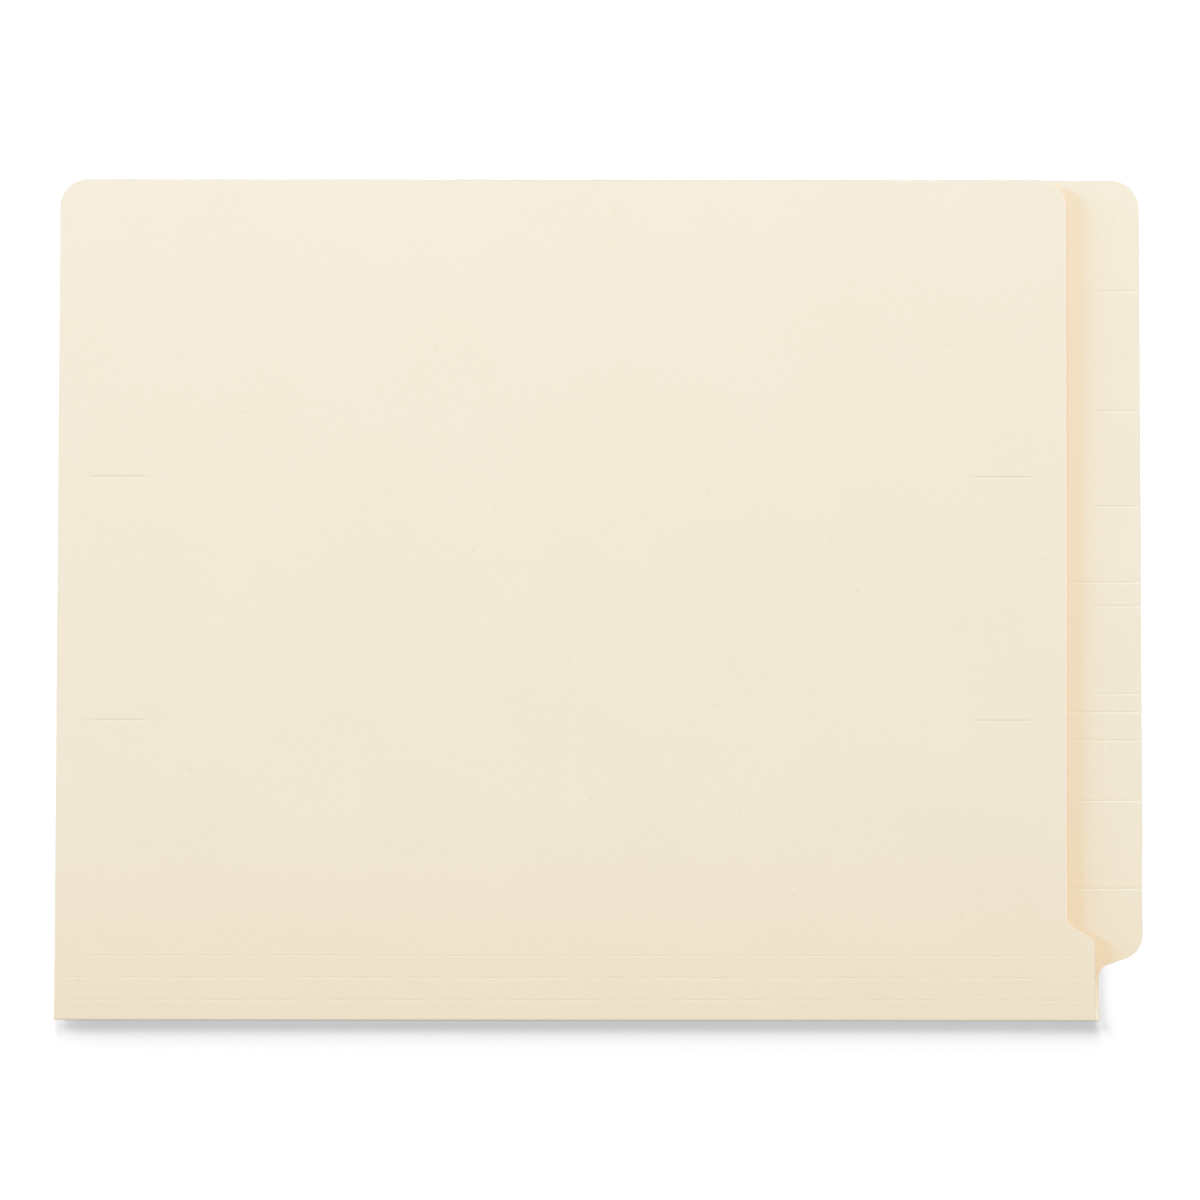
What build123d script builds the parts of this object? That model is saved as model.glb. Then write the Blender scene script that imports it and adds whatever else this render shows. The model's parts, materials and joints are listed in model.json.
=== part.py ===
"""Letter-size end-tab folder of manila board, lying closed on its back leaf.

Millimetres. X runs along the fold with the tab at +X, the fold is at -Y and +Z is up.
The origin is at the middle of the folder's plan, on the table.
The sheet is split at its creases: each panel is a plate whose inner face lies on the
crease axes, and each crease is a round bead on its own hinge axis.
"""
import os
from math import asin, cos, degrees, radians, sin, sqrt, tan

from build123d import *

# Sheet
BOARD = 0.28                 # thickness of 11-point board
LEAF_HEIGHT = 241.3          # fold to top edge, 9 1/2 in
BODY_WIDTH = 298.45          # along the fold, 11 3/4 in
TAB_REACH = 12.7             # end tab beyond the body, 1/2 in
CORNER_RADIUS = 8.0          # outer corners of both leaves

# End tab: its lower shoulder runs down to the body edge in an S
TAB_SHOULDER_FOOT = 15.0     # where the sloping edge meets the body edge
TAB_SHOULDER_SLOPE = 18.4    # degrees
TAB_OUTER_RADIUS = 7.5
TAB_INNER_RADIUS = 3.7

# Cover: cut back beside the tab, nearly full width at the fold
COVER_UNDERCUT = 9.05        # cover is this much narrower than the body
COVER_TRIM = 1.05            # cover's foot is this much shorter than the body
COVER_SHOULDER_RISE = 5.0    # last score to where the sloping edge leaves the foot
COVER_SHOULDER_SLOPE = 27.5  # degrees
COVER_INNER_RADIUS = 4.4
COVER_OUTER_RADIUS = 4.0

# Fastener slits in the cover
SLIT_LENGTH = 15.2
SLIT_WIDTH = 0.3
SLIT_SPACING = 69.85         # prong spacing, 2 3/4 in
SLIT_INSET_LEFT = 17.5       # slit centre from the left edge
SLIT_INSET_RIGHT = 18.0      # slit centre from the cover's right edge

# Creases
SCORE_COUNT = 3
FIRST_SCORE = 5.4            # fold axis to first score
SCORE_PITCH = 6.3            # score to score
SCORE_BEAD_RADIUS = 0.2
CREASE_PLAY = 0.05           # running clearance between a bead and the panel ends
SCORE_CHAMFER = 0.08         # pressed-in lips beside a score

# Resting shape: the fold springs up off the table and the cover lies close over the other leaf
FOLD_RISE = 0.7
RISE_LENGTH = 10.0           # stretch of the back leaf that curves up to the fold
CREASE_GAP = 0.1             # between the score beads and the back leaf
TOP_GAP = 0.3                # between the leaves at their top edges

# Blind score lines pressed into the tab
GROOVE_RADIUS = 0.3
GROOVE_DEPTH = 0.1
SHORT_GROOVE_HEIGHTS = (93.2, 118.4, 147.1, 174.6, 209.2)
LONG_GROOVE_HEIGHTS = (37.5, 62.6, 79.9, 88.0, 125.2)
GROOVE_EDGE_GAP = 0.9        # grooves stop this far inside the tab edge

# Derived
OVERALL_WIDTH = BODY_WIDTH + TAB_REACH
COVER_WIDTH = BODY_WIDTH - COVER_UNDERCUT
COVER_FOOT_WIDTH = BODY_WIDTH - COVER_TRIM
SCORES = [FIRST_SCORE + i * SCORE_PITCH for i in range(SCORE_COUNT)]
CREASES = [0] + SCORES       # flat distances from the fold axis
COVER_START = CREASES[-1]
FOLD_BEAD_RADIUS = BOARD
CLEAR_ABOVE = 2 * (FOLD_RISE + BOARD) + 1     # height of cutting prisms over the table

ROW = Pos(-OVERALL_WIDTH / 2, -LEAF_HEIGHT / 2, 0)   # sheet corner to row origin


def outline(corners):
    """Closed face through (x, y, radius) corners, each rounded to its radius."""
    face = make_face(Polyline(*[(x, y) for x, y, _ in corners], close=True))
    for x, y, radius in corners:
        if radius:
            corner = face.vertices().sort_by_distance((x, y, 0))[0]
            face = fillet(corner, radius)
    return face


def side_prism(profile, length):
    """Face drawn as (distance from the fold, height), swept along X from the left edge."""
    upright = Plane(origin=(0, 0, 0), x_dir=(0, 1, 0), z_dir=(1, 0, 0))
    return extrude(upright * profile, length)


def bead(centre, radius, length):
    """Round crease bead along X, centred on its hinge axis."""
    along, height = centre
    return Pos(0, along, height) * side_prism(Circle(radius), length)


# Back leaf: flat on the table, then curving up to the fold
def back_outline():
    tab_climb = TAB_REACH * tan(radians(TAB_SHOULDER_SLOPE))
    return outline([
        (0, 0, 0),
        (BODY_WIDTH, 0, 0),
        (BODY_WIDTH, TAB_SHOULDER_FOOT, TAB_INNER_RADIUS),
        (OVERALL_WIDTH, TAB_SHOULDER_FOOT + tab_climb, TAB_OUTER_RADIUS),
        (OVERALL_WIDTH, LEAF_HEIGHT, CORNER_RADIUS),
        (0, LEAF_HEIGHT, CORNER_RADIUS),
    ])


rise_run = RISE_LENGTH - FOLD_BEAD_RADIUS
rise_radius = (rise_run ** 2 + FOLD_RISE ** 2) / (2 * FOLD_RISE)   # of the leaf's inner face


def inner_height(along):
    """Height of the back leaf's inner face at a distance from the bottom edge."""
    run = max(RISE_LENGTH - along, 0)
    return BOARD + rise_radius - sqrt(rise_radius ** 2 - run ** 2)


def back_profile():
    centre_height = BOARD + rise_radius
    end_angle = asin(rise_run / rise_radius) - (FOLD_BEAD_RADIUS + CREASE_PLAY) / rise_radius

    def on_arc(radius, angle):
        return (RISE_LENGTH - radius * sin(angle), centre_height - radius * cos(angle))

    def arc(radius):
        return ThreePointArc(on_arc(radius, end_angle), on_arc(radius, end_angle / 2),
                             on_arc(radius, 0))

    outer_radius = rise_radius + BOARD
    return make_face([
        arc(rise_radius),
        Line((RISE_LENGTH, BOARD), (LEAF_HEIGHT, BOARD)),
        Line((LEAF_HEIGHT, BOARD), (LEAF_HEIGHT, 0)),
        Line((LEAF_HEIGHT, 0), (RISE_LENGTH, 0)),
        arc(outer_radius),
        Line(on_arc(outer_radius, end_angle), on_arc(rise_radius, end_angle)),
    ])


def tab_groove(start, height):
    length = OVERALL_WIDTH - GROOVE_EDGE_GAP - start
    axis_height = BOARD + GROOVE_RADIUS - GROOVE_DEPTH
    return Pos(start, 0, 0) * bead((height, axis_height), GROOVE_RADIUS, length)


back_leaf = side_prism(back_profile(), OVERALL_WIDTH) & extrude(back_outline(), CLEAR_ABOVE)
for height in SHORT_GROOVE_HEIGHTS:
    back_leaf -= tab_groove(BODY_WIDTH, height)
for height in LONG_GROOVE_HEIGHTS:
    back_leaf -= tab_groove(COVER_WIDTH, height)


# Cover side of the sheet, drawn flat from the fold axis and then set at each panel's slope
def cover_outline():
    shoulder_foot = COVER_START + COVER_SHOULDER_RISE
    shoulder_climb = (COVER_FOOT_WIDTH - COVER_WIDTH) * tan(radians(COVER_SHOULDER_SLOPE))
    top = LEAF_HEIGHT - FOLD_BEAD_RADIUS
    return outline([
        (0, 0, 0),
        (COVER_FOOT_WIDTH, 0, 0),
        (COVER_FOOT_WIDTH, shoulder_foot, COVER_OUTER_RADIUS),
        (COVER_WIDTH, shoulder_foot + shoulder_climb, COVER_INNER_RADIUS),
        (COVER_WIDTH, top, CORNER_RADIUS),
        (0, top, CORNER_RADIUS),
    ])


def panel_profile(start, end, start_lip, end_lip):
    """Plate section from start to end, its outer corners taken off by the lip sizes."""
    points = [(start, 0), (end, 0), (end, BOARD - end_lip), (end - end_lip, BOARD),
              (start + start_lip, BOARD), (start, BOARD - start_lip)]
    kept = [p for i, p in enumerate(points) if p != points[i - 1]]
    return make_face(Polyline(*kept, close=True))


def cover_panel(axis, slope, first, start, end, start_lip, end_lip):
    """Plate of the cover between two flat distances from the fold, set on its crease axis."""
    flat = side_prism(panel_profile(start, end, start_lip, end_lip), BODY_WIDTH)
    flat = flat & extrude(cover_outline(), BOARD)
    along, height = axis
    return Pos(0, along, height) * Rot(slope, 0, 0) * Pos(0, -first, 0) * flat


fold_axis = (FOLD_BEAD_RADIUS, FOLD_RISE + BOARD)
axes = [fold_axis]
slopes = []
for last, score in zip(CREASES, SCORES):
    along, height = axes[-1]
    width = score - last
    score_height = inner_height(FOLD_BEAD_RADIUS + score) + CREASE_GAP + SCORE_BEAD_RADIUS
    slopes.append(degrees(asin((score_height - height) / width)))
    axes.append((along + width * cos(radians(slopes[-1])), score_height))

fold_gap = FOLD_BEAD_RADIUS + CREASE_PLAY
score_gap = SCORE_BEAD_RADIUS + CREASE_PLAY

nodes = {"back_leaf": back_leaf, "fold_crease": bead(fold_axis, FOLD_BEAD_RADIUS, BODY_WIDTH)}
for index, slope in enumerate(slopes):
    first, last = CREASES[index], CREASES[index + 1]
    at_fold = index == 0
    nodes[f"gusset_strip_{index + 1}"] = cover_panel(
        axes[index], slope, first,
        first + (fold_gap if at_fold else score_gap), last - score_gap,
        0 if at_fold else SCORE_CHAMFER, SCORE_CHAMFER)
    nodes[f"score_crease_{index + 1}"] = bead(axes[index + 1], SCORE_BEAD_RADIUS, COVER_FOOT_WIDTH)


def fastener_slit(across, height):
    return Pos(across, height, 0) * extrude(SlotOverall(SLIT_LENGTH, SLIT_WIDTH), CLEAR_ABOVE * 2)


cover_length = LEAF_HEIGHT - FOLD_BEAD_RADIUS - COVER_START
cover_lean = degrees(asin((BOARD + TOP_GAP - axes[-1][1]) / cover_length))
front_leaf = cover_panel(axes[-1], cover_lean, COVER_START, COVER_START + score_gap,
                         LEAF_HEIGHT - FOLD_BEAD_RADIUS, SCORE_CHAMFER, 0)
for across in (SLIT_INSET_LEFT, COVER_WIDTH - SLIT_INSET_RIGHT):
    for side in (-1, 1):
        front_leaf -= fastener_slit(across, LEAF_HEIGHT / 2 + side * SLIT_SPACING / 2)
nodes["front_leaf"] = front_leaf

os.makedirs("parts", exist_ok=True)
for name, shape in nodes.items():
    export_step(ROW * shape, f"parts/{name}.step")
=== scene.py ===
"""Looks for the end-tab folder: one sheet of manila board, folded, scored and die-cut.

Every panel and crease of the solid model is replaced by a finer closed plate with rounded
cut edges, pressed score lines and slits. Lengths are in millimetres in the sheet's own
coordinates, u from the left edge and s from the fold along the board, and become metres
when a plate is placed in the row frame.
"""
import json
import math

import bmesh
import bpy
import numpy as np
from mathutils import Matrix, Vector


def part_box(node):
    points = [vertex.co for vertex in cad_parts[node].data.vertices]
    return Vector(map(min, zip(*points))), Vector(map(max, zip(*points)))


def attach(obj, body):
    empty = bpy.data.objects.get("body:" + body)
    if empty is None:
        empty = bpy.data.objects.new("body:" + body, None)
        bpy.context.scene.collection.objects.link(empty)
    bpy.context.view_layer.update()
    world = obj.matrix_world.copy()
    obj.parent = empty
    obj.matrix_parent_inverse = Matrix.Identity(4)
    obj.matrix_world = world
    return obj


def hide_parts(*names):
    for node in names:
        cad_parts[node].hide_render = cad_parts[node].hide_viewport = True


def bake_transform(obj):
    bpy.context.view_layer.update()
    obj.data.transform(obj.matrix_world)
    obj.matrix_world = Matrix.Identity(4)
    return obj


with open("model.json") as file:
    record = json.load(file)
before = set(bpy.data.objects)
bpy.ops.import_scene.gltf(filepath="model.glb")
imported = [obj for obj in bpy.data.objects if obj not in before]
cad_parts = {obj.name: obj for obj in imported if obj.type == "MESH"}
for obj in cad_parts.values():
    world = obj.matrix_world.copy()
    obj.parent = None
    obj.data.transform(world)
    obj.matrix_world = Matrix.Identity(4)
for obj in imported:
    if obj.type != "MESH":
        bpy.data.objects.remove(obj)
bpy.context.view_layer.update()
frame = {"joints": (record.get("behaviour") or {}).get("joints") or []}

MM = 0.001


# Sizes read from the frame
def box_mm(node):
    low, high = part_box(node)
    return np.array(low) / MM, np.array(high) / MM


back_low, back_high = box_mm("back_leaf")
fold_low, fold_high = box_mm("fold_crease")
_, score_high = box_mm("score_crease_1")
front_low, _ = box_mm("front_leaf")
LEFT_X = back_low[0]
FOLD_Y = fold_low[1]
BOARD = (fold_high[2] - fold_low[2]) / 2
OVERALL_WIDTH = back_high[0] - LEFT_X
BODY_WIDTH = fold_high[0] - LEFT_X
FOOT_WIDTH = score_high[0] - LEFT_X
LEAF_TOP = back_high[1] - FOLD_Y - BOARD          # fold axis to top edge
joint_at = {j["name"]: np.array(j["pos_m"]) / MM for j in frame["joints"]}
AXES = [joint_at[n][1:] for n in ("cover_open", "bend_back_1", "bend_back_2", "bend_back_3")]
CREASES = [0.0]                                   # s of the fold and of the three scores
for low_axis, high_axis in zip(AXES, AXES[1:]):
    CREASES.append(CREASES[-1] + float(np.linalg.norm(high_axis - low_axis)))
COVER_START = CREASES[-1]
COVER_SLOPE = math.asin((front_low[2] - AXES[3][1]) / (LEAF_TOP - COVER_START))

# Sizes the frame's boxes don't tell
COVER_UNDERCUT = 9.05                 # the cover is this much narrower than the body
COVER_WIDTH = BODY_WIDTH - COVER_UNDERCUT
COVER_LEAN = 0.0038                   # the cover's right edge leans out this much towards the top
CORNER_RADIUS = 8.0
TAB_SHOULDER = dict(foot_s=15.0 - BOARD, slope=math.radians(18.4),
                    foot_radius=3.7, top_radius=7.5)
COVER_SHOULDER = dict(foot_s=COVER_START + 5.0, slope=math.radians(27.5),
                      foot_radius=4.0, top_radius=4.4)
RISE_LENGTH = 10.0 - BOARD            # stretch of the back leaf that curves up to the fold
FOLD_RISE = AXES[0][1] - BOARD
SLIT_SPACING = 69.85
SLIT_LENGTH = 15.2
SLIT_WIDTH = 0.06
SLIT_CENTRES = (17.5, COVER_WIDTH - 18.0)
SHORT_GROOVES = (93.2, 118.4, 147.1, 174.6, 209.2)
LONG_GROOVES = (37.5, 62.6, 79.9, 88.0, 125.2)

# Finish of the board
EDGE_RADIUS = 0.08                    # rounding of the die-cut edges
HIGHLIGHT_WIDTH = 0.45                      # width of the painted highlight along the front leaf's right cut edge
HIGHLIGHT_FADE = 8.0                        # stretch over which the painted highlight fades out
CREASE_HALF = 0.9                     # half width of the board that bends at a score
FOLD_PLAY = 0.03                      # keeps the first strip off the back leaf when laid open
SCORE_WIDTH = 0.19                    # from the middle of a score to where it is a third as deep
SCORE_DEPTH = 0.11
TAB_GROOVE_WIDTH = 0.25
TAB_GROOVE_DEPTH = 0.055
SLIT_DIP = 0.09                       # pressed-down lip below a slit
FACE_PLY = 0.03                       # thickness of the back leaf's upper ply
FOLD_CORE = 0.03                      # radius that the inner face keeps inside the fold
GRAIN_SHIFT = 0.05                    # sets the grain of the two faces apart


def smooth_step(x):
    x = np.clip(x, 0, 1)
    return x * x * (3 - 2 * x)


def ripple(x, waves):
    """Sum of (length, phase, weight) sine waves along x."""
    return sum(w * np.sin(2 * np.pi * x / length + phase) for length, phase, w in waves)


def spread(start, end, step):
    count = max(2, int(math.ceil((end - start) / step)) + 1)
    return list(np.linspace(start, end, count))


def tidy_rows(values, low, high, gap=0.015):
    """Sorted values inside low and high, without near doubles."""
    kept = [low]
    for v in sorted(values):
        if v - kept[-1] > gap and high - v > gap:
            kept.append(v)
    return np.array(kept + [high])


# Outlines of the two leaves, as the left and right edge at each s
def arc_depth(radius, offset):
    """How far an arc has left its tangent at an offset from where they touch."""
    return radius - np.sqrt(np.clip(radius ** 2 - offset ** 2, 0, None))


def shoulder(s, foot_u, top_u, foot_s, slope, foot_radius, top_radius):
    """S-shaped step in an edge: foot_u below, top_u above, two arcs and a straight between."""
    side = math.copysign(1, top_u - foot_u)
    turn = math.pi / 2 - slope
    top_s = foot_s + abs(top_u - foot_u) * math.tan(slope)
    low_s = foot_s - foot_radius * math.tan(turn / 2)
    high_s = top_s + top_radius * math.tan(turn / 2)
    low_end = low_s + foot_radius * math.sin(turn)
    high_start = high_s - top_radius * math.sin(turn)
    low_arc = foot_u + side * arc_depth(foot_radius, s - low_s)
    high_arc = top_u - side * arc_depth(top_radius, s - high_s)
    straight = foot_u + side * (s - foot_s) / math.tan(slope)
    return np.select([s <= low_s, s <= low_end, s <= high_start, s <= high_s],
                     [foot_u, low_arc, straight, high_arc], top_u)


def corner_cut(s):
    """How far a rounded top corner has drawn the edge in at s."""
    rise = np.clip(s - (LEAF_TOP - CORNER_RADIUS), 0, CORNER_RADIUS)
    return arc_depth(CORNER_RADIUS, rise)


def cover_span(s):
    lean = COVER_LEAN * np.clip(s - COVER_START, 0, None)
    right = shoulder(s, FOOT_WIDTH, COVER_WIDTH, **COVER_SHOULDER)
    return corner_cut(s), right - corner_cut(s) + lean


def back_span(s):
    return corner_cut(s), shoulder(s, BODY_WIDTH, OVERALL_WIDTH, **TAB_SHOULDER) - corner_cut(s)


def corner_rows():
    return [LEAF_TOP - CORNER_RADIUS + CORNER_RADIUS * math.sin(a) for a in np.linspace(0, 1.5, 16)]


# Where the board lies: (s, height over the inner face) to (y, z) of the row frame, in mm
def panel_place(axis, direction, first):
    along = np.array([math.cos(direction), math.sin(direction)])
    normal = np.array([-along[1], along[0]])

    def place(s, h):
        return (axis[0] + (s - first) * along[0] + h * normal[0],
                axis[1] + (s - first) * along[1] + h * normal[1])
    return place


def direction_of(start, end):
    return math.atan2(end[1] - start[1], end[0] - start[0])


DIRECTIONS = [direction_of(AXES[i], AXES[i + 1]) for i in range(3)] + [COVER_SLOPE]
PLACES = [panel_place(AXES[i], DIRECTIONS[i], CREASES[i]) for i in range(4)]

RISE_RADIUS = (RISE_LENGTH ** 2 + FOLD_RISE ** 2) / (2 * FOLD_RISE)
RISE_ANGLE = math.asin(RISE_LENGTH / RISE_RADIUS)


def back_place(s, h):
    """The back leaf curves down from the fold and then lies flat; its inner face is up."""
    angle = np.clip(RISE_ANGLE - s / RISE_RADIUS, 0, None)
    beyond = np.clip(s - RISE_ANGLE * RISE_RADIUS, 0, None)
    reach = RISE_RADIUS + h
    y = AXES[0][0] + RISE_LENGTH - reach * np.sin(angle) + beyond
    z = BOARD + RISE_RADIUS - reach * np.cos(angle)
    return y, z


# Closed plates
def edge_profile(shrink, bottom, top, radius):
    """(inset from the cut edge, height) points round a cut edge, outer face to inner face."""
    radius = min(radius, 0.8 * ((top - bottom) / 2 - shrink))
    bend = np.radians([90, 45, 0])
    outer = [(radius * (1 - math.cos(a)), top - shrink - radius + radius * math.sin(a)) for a in bend]
    inner = [(inset, bottom + top - height) for inset, height in reversed(outer)]
    return outer + inner


def plate(name, rows, columns, span, place, relief, holes=(), end_cut=False, side=1.0,
          bottom=0.0, top=BOARD, radius=EDGE_RADIUS, highlighted=False):
    """Plate of board lofted through one closed ring per row.

    rows are s values and columns shares of the width. relief(u, s) gives the shift of the
    outer and of the inner face. holes are (s low, s high, u low, u high) cuts. end_cut
    rounds the last row as a cut edge. The plate lies between the heights bottom and top.
    highlighted paints a pale highlight along its right edge, which fades out towards the last score.
    """
    shrinks = np.zeros(len(rows))
    if end_cut:
        turn = np.radians([30, 60, 85])
        rows = np.concatenate([rows[:-1], [rows[-1] - radius],
                               rows[-1] - radius * (1 - np.sin(turn))])
        shrinks = np.concatenate([np.zeros(len(rows) - 3), radius * (1 - np.cos(turn))])
    count, width = len(rows), len(columns)
    left, right = span(rows)
    verts, sheet, highlight_mask = [], [], []
    for i in range(count):
        profile = edge_profile(shrinks[i], bottom, top, radius)
        inset = profile[0][0]
        low, high = left[i] + inset, right[i] - inset
        u_face = low + columns * (high - low)
        s_face = np.full(width, rows[i])
        outer, inner = relief(u_face, s_face)
        right_u = [right[i] - p[0] for p in profile[1:-1]]
        left_u = [left[i] + p[0] for p in reversed(profile[1:-1])]
        wall_h = [p[1] for p in profile[1:-1]]
        u = np.concatenate([u_face, right_u, u_face[::-1], left_u])
        h = np.concatenate([top - shrinks[i] + outer, wall_h,
                            (bottom + shrinks[i] + inner)[::-1], wall_h[::-1]])
        y, z = place(np.full(len(u), rows[i]), h)
        verts.append(np.stack([(LEFT_X + u) * MM, y * MM, z * MM], 1))
        face_side = np.concatenate([np.zeros(width), np.full(len(wall_h), 0.5), np.ones(width),
                                    np.full(len(wall_h), 0.5)])
        sheet_s = np.full(len(u), side * rows[i] * MM)
        sheet.append(np.stack([u * MM, sheet_s, face_side * GRAIN_SHIFT], 1))
        # painted highlight: paler colour in a band along the right cut edge, on both faces and on the
        # right wall
        most = highlighted * smooth_step((rows[i] - COVER_START) / HIGHLIGHT_FADE)
        highlight_share = most * (1 - np.clip((right[i] - u_face) / HIGHLIGHT_WIDTH, 0, 1))
        highlight_mask.append(np.concatenate([highlight_share, np.full(len(wall_h), most), highlight_share[::-1],
                                   np.zeros(len(wall_h))]))
    ring = len(verts[0])
    walls = (ring - 2 * width) // 2

    def outer_at(i, j):
        return i * ring + j

    def inner_at(i, j):
        return i * ring + 2 * width + walls - 1 - j

    u_mid = columns * COVER_WIDTH
    cut_cells = set()
    faces = []
    for s_low, s_high, u_low, u_high in holes:
        cells_i = [i for i in range(count - 1)
                   if rows[i] > s_low - 1e-3 and rows[i + 1] < s_high + 1e-3]
        cells_j = [j for j in range(width - 1)
                   if u_mid[j] > u_low - 0.1 and u_mid[j + 1] < u_high + 0.1]
        cut_cells |= {(i, j) for i in cells_i for j in cells_j}
        i0, i1, j0, j1 = cells_i[0], cells_i[-1] + 1, cells_j[0], cells_j[-1] + 1
        loop = [(i0, j) for j in range(j0, j1)] + [(i, j1) for i in range(i0, i1)]
        loop += [(i1, j) for j in range(j1, j0, -1)] + [(i, j0) for i in range(i1, i0, -1)]
        for a, b in zip(loop, loop[1:] + loop[:1]):
            faces.append((outer_at(*a), outer_at(*b), inner_at(*b), inner_at(*a)))
    for i in range(count - 1):
        for k in range(ring):
            n = (k + 1) % ring
            cell = k if k < width - 1 else None
            if width + walls <= k < 2 * width + walls - 1:
                cell = 2 * width + walls - 2 - k
            if cell is not None and (i, cell) in cut_cells:
                continue
            faces.append((i * ring + k, i * ring + n, (i + 1) * ring + n, (i + 1) * ring + k))
    for i in (0, count - 1):
        for j in range(width - 1):
            faces.append((outer_at(i, j), outer_at(i, j + 1), inner_at(i, j + 1), inner_at(i, j)))
        right_wall = [i * ring + width - 1 + k for k in range(walls + 2)]
        left_wall = [i * ring + (2 * width + walls - 1 + k) % ring for k in range(walls + 2)]
        faces += [tuple(right_wall), tuple(left_wall)]
    return finish_mesh(name, np.concatenate(verts), faces, np.concatenate(sheet), np.concatenate(highlight_mask))


def finish_mesh(name, verts, faces, sheet, highlight_mask):
    mesh = bpy.data.meshes.new(name)
    mesh.from_pydata([tuple(v) for v in verts], [], faces)
    bm = bmesh.new()
    bm.from_mesh(mesh)
    bmesh.ops.recalc_face_normals(bm, faces=bm.faces)
    bm.to_mesh(mesh)
    bm.free()
    mesh.attributes.new("sheet", "FLOAT_VECTOR", "POINT").data.foreach_set("vector", sheet.ravel())
    mesh.attributes.new("highlight_mask", "FLOAT", "POINT").data.foreach_set("value", highlight_mask)
    mesh.shade_smooth()
    mesh.set_sharp_from_angle(angle=math.radians(50))
    piece = bpy.data.objects.new(name, mesh)
    bpy.context.scene.collection.objects.link(piece)
    return piece


def edge_columns(width, values):
    """Shares of the width, with close columns along both cut edges."""
    near_edges = [0.15, 0.3, HIGHLIGHT_WIDTH, 0.8, 1.4]
    wanted = list(values) + near_edges + [width - v for v in near_edges]
    return tidy_rows(wanted, 0, width, gap=0.05) / width


# Relief of the board
def still(u, s):
    return np.zeros_like(u), np.zeros_like(u)


def score_relief(number):
    """Pressed score line across the sheet: a shallow, slightly wandering groove that comes and goes."""
    def relief(u, s):
        wander = 0.04 * ripple(u, [(83, number, 1), (31, 2 * number, 0.6), (13, 5 + number, 0.4)])
        patches = [(47, 1.3 * number, 0.5), (17, 3 * number, 0.6), (7.3, number, 0.7)]
        press = 0.55 + 0.42 * ripple(u, patches)
        ends = smooth_step((u - 1.9) / 2) * smooth_step((FOOT_WIDTH - 0.3 - u) / 1.2)
        across = (s - CREASES[number] - wander) / SCORE_WIDTH
        dip = np.clip(press, 0.12, 1) * ends * np.exp(-across ** 2)
        return -SCORE_DEPTH * dip, -SCORE_DEPTH * dip
    return relief


def leaf_wave(u, s, start):
    """The slow unevenness of a leaf that has been in use, none at the crease it starts from."""
    wave = 0.05 * ripple(u + 0.35 * s, [(170, 0.4, 1), (61, 2.1, 0.35)])
    wave += 0.04 * ripple(s - 0.2 * u, [(140, 1.1, 1), (47, 0.2, 0.3)])
    return wave * smooth_step((s - start) / 30)


def slit_boxes():
    boxes = []
    for u in SLIT_CENTRES:
        for step in (-0.5, 0.5):
            s = (LEAF_TOP - BOARD) / 2 + step * SLIT_SPACING
            boxes.append((s - SLIT_WIDTH / 2, s + SLIT_WIDTH / 2,
                          u - SLIT_LENGTH / 2, u + SLIT_LENGTH / 2))
    return boxes


def front_relief(u, s):
    lift = leaf_wave(u, s, COVER_START)
    dip = np.zeros_like(u)
    for s_low, _, u_low, u_high in slit_boxes():
        below = np.where(s < s_low + 1e-6, s_low - s, np.inf)
        within = smooth_step((u - u_low + 1) / 1.5) * smooth_step((u_high + 1 - u) / 1.5)
        dip += SLIT_DIP * within * np.exp(-(below / 0.3) ** 2)
    return lift - dip, lift


def tab_relief(u, s):
    """Blind score lines pressed into the tab's upper face, one with a hook at its inner end."""
    sink = np.zeros_like(u)
    for height in SHORT_GROOVES + LONG_GROOVES:
        start = COVER_WIDTH - 0.4 if height in LONG_GROOVES else BODY_WIDTH - 0.3
        centre = height - BOARD
        if height == SHORT_GROOVES[0]:
            hook = np.clip((BODY_WIDTH + 0.2 - u) / 2.2, 0, 1)
            centre = centre + 2.3 * hook ** 1.5
            start -= 1.9
        ends = smooth_step((u - start) / 0.8) * smooth_step((OVERALL_WIDTH - 0.3 - u) / 0.9)
        sink += TAB_GROOVE_DEPTH * ends * np.exp(-((s - centre) / TAB_GROOVE_WIDTH) ** 2)
    lift = leaf_wave(u, s, RISE_LENGTH) * 0.3 * smooth_step((u - COVER_WIDTH) / 6)
    return lift - sink, lift


# Pieces
def groove_rows(centre, width):
    return [centre + k * width for k in (-3, -2, -1.4, -0.9, -0.45, 0, 0.45, 0.9, 1.4, 2, 3)]


def make_front_leaf():
    start = COVER_START + CREASE_HALF
    rows = spread(start, LEAF_TOP, 4) + spread(start, 34, 0.45) + corner_rows()
    columns = spread(0, COVER_WIDTH, 3.5)
    from_slit = (0, 0.15, 0.3, 0.5, 1)
    for s_low, s_high, u_low, u_high in slit_boxes():
        rows += [s_low - d for d in from_slit] + [s_high + d for d in from_slit]
        columns += [u_low - 0.6, u_low, u_high, u_high + 0.6]
    return plate("front_leaf_board", tidy_rows(rows, start, LEAF_TOP),
                 edge_columns(COVER_WIDTH, columns), cover_span, PLACES[3], front_relief,
                 holes=slit_boxes(), end_cut=True, highlighted=True)


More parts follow.
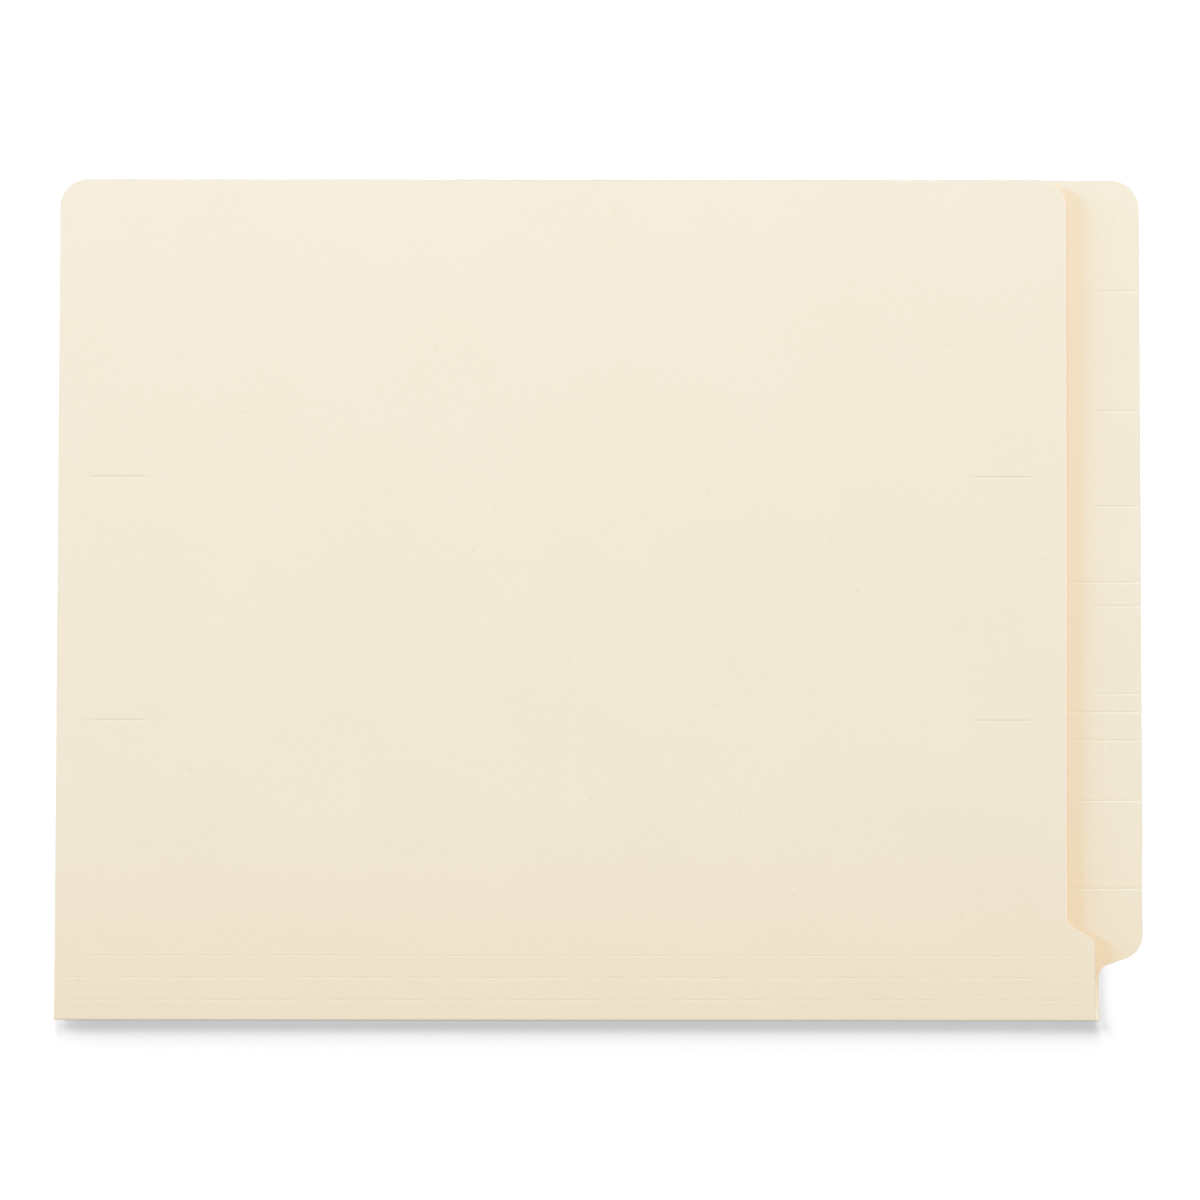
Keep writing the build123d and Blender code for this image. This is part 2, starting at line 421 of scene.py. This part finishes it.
def make_back_leaf():
    """Back leaf as its board and the thin ply of its upper face, which has lamps of its own."""
    rows = spread(0, LEAF_TOP, 4) + spread(0, 42, 1.5) + spread(10, 27, 0.4) + corner_rows()
    for height in SHORT_GROOVES + LONG_GROOVES:
        rows += groove_rows(height - BOARD, TAB_GROOVE_WIDTH)
    hook_s = SHORT_GROOVES[0] - BOARD
    rows += spread(hook_s, hook_s + 2.6, 0.12)
    columns = spread(0, COVER_WIDTH - 4, 5) + spread(COVER_WIDTH - 4, OVERALL_WIDTH, 0.5)
    shares = edge_columns(OVERALL_WIDTH, columns)

    def place(s, h):
        return back_place(s, BOARD - h)

    def face_span(s):
        left, right = back_span(s)
        return left + EDGE_RADIUS, right - EDGE_RADIUS

    def face_relief(u, s):
        upper, _ = tab_relief(u, s)
        return upper, upper
    leaf = plate("back_leaf_board", tidy_rows(rows, 0, LEAF_TOP), shares, back_span, place,
                 tab_relief, end_cut=True, side=-1.0, top=BOARD - FACE_PLY)
    face = plate("back_leaf_face", tidy_rows(rows, 0, LEAF_TOP - EDGE_RADIUS), shares, face_span,
                 place, face_relief, end_cut=True, side=-1.0, bottom=BOARD - FACE_PLY,
                 radius=FACE_PLY / 3)
    return leaf, face


def make_strip(number):
    """Gusset strip between two creases, bare board."""
    low = CREASES[number - 1] + (FOLD_PLAY if number == 1 else CREASE_HALF)
    high = CREASES[number] - CREASE_HALF
    columns = edge_columns(FOOT_WIDTH, spread(0, FOOT_WIDTH, 4))
    return plate(f"gusset_strip_{number}_board", np.array(spread(low, high, 1)), columns,
                 cover_span, PLACES[number - 1], still)


def make_score(number):
    """Band of board that bends at a score, between two panels."""
    at = CREASES[number]
    rows = groove_rows(at, SCORE_WIDTH) + spread(at - CREASE_HALF, at + CREASE_HALF, 0.15)
    before, after = PLACES[number - 1], PLACES[number]

    def place(s, h):
        turn = smooth_step((s - at + CREASE_HALF) / (2 * CREASE_HALF))
        (y0, z0), (y1, z1) = before(s, h), after(s, h)
        return y0 + turn * (y1 - y0), z0 + turn * (z1 - z0)
    columns = edge_columns(FOOT_WIDTH, spread(0, FOOT_WIDTH, 1.2))
    piece = plate(f"score_crease_{number}_board",
                  tidy_rows(rows, at - CREASE_HALF, at + CREASE_HALF), columns, cover_span, place,
                  score_relief(number))
    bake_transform(piece)
    return piece


def make_fold():
    """Main fold: the board's outer face rolls round from the cover side to the back."""
    y0, z0 = AXES[0]
    first = DIRECTIONS[0] + math.pi / 2
    last = 3 * math.pi / 2 - RISE_ANGLE

    def place(s, h):
        angle = first + s * (last - first)
        radius = FOLD_CORE + h * (BOARD - FOLD_CORE) / BOARD
        return y0 + radius * np.cos(angle), z0 + radius * np.sin(angle)

    def span(s):
        return np.zeros_like(s), FOOT_WIDTH + (BODY_WIDTH - FOOT_WIDTH) * smooth_step(s / 0.35)
    columns = edge_columns(BODY_WIDTH, spread(0, BODY_WIDTH, 4))
    piece = plate("fold_crease_board", np.linspace(0, 1, 17), columns, span, place, still)
    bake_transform(piece)
    return piece


# Manila board
def manila():
    """Uncoated manila: soft mottling, fibres and a few flecks, with painted shade that darkens it
    towards the fold and a painted highlight along a cut edge where there is one.
    """
    material = bpy.data.materials.new("manila_board")
    material.use_nodes = True
    tree = material.node_tree
    nodes, links = tree.nodes, tree.links
    shader = nodes["Principled BSDF"]
    shader.inputs["Specular IOR Level"].default_value = 0.2
    sheet = nodes.new("ShaderNodeAttribute")
    sheet.attribute_name = "sheet"
    highlight_mask = nodes.new("ShaderNodeAttribute")
    highlight_mask.attribute_name = "highlight_mask"

    def noise(scale, detail, roughness=0.55, stretch=None):
        texture = nodes.new("ShaderNodeTexNoise")
        texture.inputs["Scale"].default_value = scale
        texture.inputs["Detail"].default_value = detail
        texture.inputs["Roughness"].default_value = roughness
        source = sheet.outputs["Vector"]
        if stretch:
            mapping = nodes.new("ShaderNodeMapping")
            mapping.inputs["Scale"].default_value = stretch
            links.new(source, mapping.inputs["Vector"])
            source = mapping.outputs["Vector"]
        links.new(source, texture.inputs["Vector"])
        return texture.outputs["Fac"]

    def ramp(source, stops):
        node = nodes.new("ShaderNodeValToRGB")
        while len(node.color_ramp.elements) < len(stops):
            node.color_ramp.elements.new(0.5)
        for element, (at, colour) in zip(node.color_ramp.elements, stops):
            element.position = at
            element.color = (*colour, 1)
        links.new(source, node.inputs["Fac"])
        return node.outputs["Color"]

    def mix(kind, share, a, b):
        node = nodes.new("ShaderNodeMix")
        node.data_type = "RGBA"
        node.blend_type = kind
        sockets = (node.inputs["Factor"], node.inputs["A"], node.inputs["B"])
        for value, socket in zip((share, a, b), sockets):
            if isinstance(value, bpy.types.NodeSocket):
                links.new(value, socket)
            else:
                socket.default_value = value
        return node.outputs["Result"]

    cloud = ramp(noise(28, 3), [(0.3, (0.871, 0.8, 0.66)), (0.7, (0.881, 0.811, 0.674))])
    mottle = ramp(noise(650, 4, 0.65), [(0.3, (0.988, 0.985, 0.979)), (0.7, (1, 1, 1))])
    fibre = ramp(noise(900, 3, 0.6, (0.5, 1, 1)), [(0.32, (0.989, 0.986, 0.98)), (0.55, (1, 1, 1))])
    fleck = ramp(noise(330, 1), [(0.2, (0.9, 0.87, 0.8)), (0.27, (1, 1, 1))])
    parts = nodes.new("ShaderNodeSeparateXYZ")
    links.new(sheet.outputs["Vector"], parts.inputs["Vector"])
    # painted shade: the board is coloured darker and warmer towards the fold, on every piece
    from_fold = nodes.new("ShaderNodeMath")
    from_fold.operation = "ABSOLUTE"
    links.new(parts.outputs["Y"], from_fold.inputs[0])
    fold_shade = ramp(from_fold.outputs["Value"],
                   [(0, (0.97, 0.936, 0.888)), (0.018, (1, 0.972, 0.934)), (0.06, (1, 1, 1))])
    colour = mix("MULTIPLY", 1.0, cloud, fold_shade)
    colour = mix("MULTIPLY", 1.0, colour, mottle)
    colour = mix("MULTIPLY", 0.8, colour, fibre)
    colour = mix("MULTIPLY", 0.35, colour, fleck)
    # painted highlight: the paler, pinker colour of the front leaf's cut edge
    colour = mix("MIX", ramp(highlight_mask.outputs["Fac"], [(0.1, (0, 0, 0)), (0.5, (0.9, 0.9, 0.9))]),
                 colour, (1, 0.84, 0.695, 1))
    links.new(colour, shader.inputs["Base Color"])
    rough = ramp(noise(420, 3), [(0.3, (0.72, 0.72, 0.72)), (0.7, (0.86, 0.86, 0.86))])
    links.new(rough, shader.inputs["Roughness"])
    bump = nodes.new("ShaderNodeBump")
    bump.inputs["Strength"].default_value = 0.08
    bump.inputs["Distance"].default_value = 0.00005
    links.new(noise(1500, 4, 0.6, (0.4, 1, 1)), bump.inputs["Height"])
    links.new(bump.outputs["Normal"], shader.inputs["Normal"])
    return material


BODIES = ["strip_1", "strip_2", "strip_3", "cover"]
board = manila()
pieces = []


def dress(piece, *nodes):
    piece.data.materials.append(board)
    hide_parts(*nodes)
    pieces.append(piece)


back = make_back_leaf()
for ply in back:
    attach(ply, "back")
    dress(ply, "back_leaf")
dress(make_fold(), "fold_crease")
for number in (1, 2, 3):
    strip = make_strip(number)
    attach(strip, BODIES[number - 1])
    dress(strip, f"gusset_strip_{number}")
    dress(make_score(number), f"score_crease_{number}")
front = make_front_leaf()
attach(front, "cover")
dress(front, "front_leaf")


# Studio
def make_floor():
    """Pale table top that shows white where nothing shades it."""
    bpy.ops.mesh.primitive_plane_add(size=12, location=(0, 0, -0.00002))
    floor = bpy.context.object
    floor.name = "table_top"
    material = bpy.data.materials.new("white_table")
    material.use_nodes = True
    shader = material.node_tree.nodes["Principled BSDF"]
    shader.inputs["Base Color"].default_value = (0.619, 0.64, 0.667, 1)
    shader.inputs["Roughness"].default_value = 0.9
    shader.inputs["Specular IOR Level"].default_value = 0.0
    floor.data.materials.append(material)
    return floor


def make_world(fill):
    """Soft white fill; the camera, mirrors and glass see plain white."""
    world = bpy.data.worlds.new("studio")
    bpy.context.scene.world = world
    world.use_nodes = True
    nodes, links = world.node_tree.nodes, world.node_tree.links
    seen = nodes.new("ShaderNodeLightPath")
    white = seen.outputs["Is Camera Ray"]
    for ray in ("Is Glossy Ray", "Is Transmission Ray"):
        either = nodes.new("ShaderNodeMath")
        either.operation = "MAXIMUM"
        links.new(white, either.inputs[0])
        links.new(seen.outputs[ray], either.inputs[1])
        white = either.outputs["Value"]
    strength = nodes.new("ShaderNodeMapRange")
    strength.inputs["To Min"].default_value = fill
    strength.inputs["To Max"].default_value = 1.0
    links.new(white, strength.inputs["Value"])
    background = nodes["Background"]
    background.inputs["Color"].default_value = (1, 1, 1, 1)
    links.new(strength.outputs["Result"], background.inputs["Strength"])


def lamp(kind, name, azimuth, elevation, distance, energy, colour):
    """Lamp aimed at the folder; azimuth is turned left from +Y as seen from above."""
    data = bpy.data.lights.new(name, kind)
    data.energy = energy
    data.color = colour
    light = bpy.data.objects.new(name, data)
    bpy.context.scene.collection.objects.link(light)
    a, e = math.radians(azimuth), math.radians(elevation)
    light.location = (-distance * math.sin(a) * math.cos(e), distance * math.cos(a) * math.cos(e),
                      distance * math.sin(e))
    light.rotation_euler = (-light.location).to_track_quat("-Z", "Y").to_euler()
    return light


def collection_of(name, things):
    group = bpy.data.collections.new(name)
    for thing in things:
        group.objects.link(thing)
    return group


def make_lights(floor, pieces, back):
    """Light from a wide ceiling and a softbox beyond the top edge.

    The back leaf's upper face has its own ceiling, a low blue window and an orange balance that
    nothing above the face blocks. Window and balance add up to white, so that the cover's shade on
    the tab is warm and a raised cover leaves no tint. The table has two lamps of its own, which the
    flat back leaf doesn't block.
    """
    leaf, face = back
    cover_side = [p for p in pieces if p not in back]
    ceiling = lamp("SUN", "ceiling", 0, 89, 2, 2.07, (1, 0.97, 0.925))
    ceiling.light_linking.receiver_collection = collection_of("plain", cover_side + [leaf, floor])
    face_ceiling = lamp("SUN", "ceiling_on_face", 0, 89, 2, 1.377, (1, 0.958, 0.895))
    balance = lamp("SUN", "window_balance", 0, 89, 2, 0.653, (1, 0.548, 0))
    window = lamp("SUN", "window", 72, 2.6, 3, 14.8, (0.107, 0.514, 1))
    window.data.angle = math.radians(11)
    on_face = collection_of("face_alone", [face])
    for tinted in (window, balance):
        tinted.visible_glossy = False         # no coloured glints at low angles
    for upper in (ceiling, face_ceiling, balance):
        upper.data.angle = math.radians(70)
    for light in (face_ceiling, balance, window):
        light.light_linking.receiver_collection = on_face
    balance.light_linking.blocker_collection = collection_of("under_face", [leaf])
    shading = ("front_leaf_board", "score_crease_3_board", "gusset_strip_3_board")
    upper_cover = [p for p in pieces if p.name in shading]
    window.light_linking.blocker_collection = collection_of("upper_cover", upper_cover)
    softbox = lamp("AREA", "softbox", 6, 20, 0.9, 3.8, (0.68, 0.82, 1))
    softbox.data.shape = "RECTANGLE"
    softbox.data.size = 0.6
    softbox.data.size_y = 0.25
    softbox.light_linking.receiver_collection = collection_of("folder", pieces)
    on_table = collection_of("table", [floor])
    cover_alone = collection_of("cover_alone", cover_side)
    table_lamps = (("table_left", 50, 9, 7.8), ("table_ahead", 4, 11.5, 6.1))
    for name, azimuth, elevation, energy in table_lamps:
        table = lamp("SUN", name, azimuth, elevation, 3, energy, (1, 0.954, 0.907))
        table.data.angle = math.radians(20)
        table.light_linking.receiver_collection = on_table
        table.light_linking.blocker_collection = cover_alone


def make_camera():
    data = bpy.data.cameras.new("camera")
    data.lens = 70
    data.sensor_width = 36
    camera = bpy.data.objects.new("camera", data)
    camera.location = (0.0003, -0.0204, 0.6703)
    camera.rotation_euler = (math.radians(1.69), math.radians(0.01), math.radians(0.06))
    bpy.context.scene.collection.objects.link(camera)
    bpy.context.scene.camera = camera


make_world(0.25)
make_lights(make_floor(), pieces, back)
make_camera()
bpy.context.scene.view_settings.view_transform = "Standard"
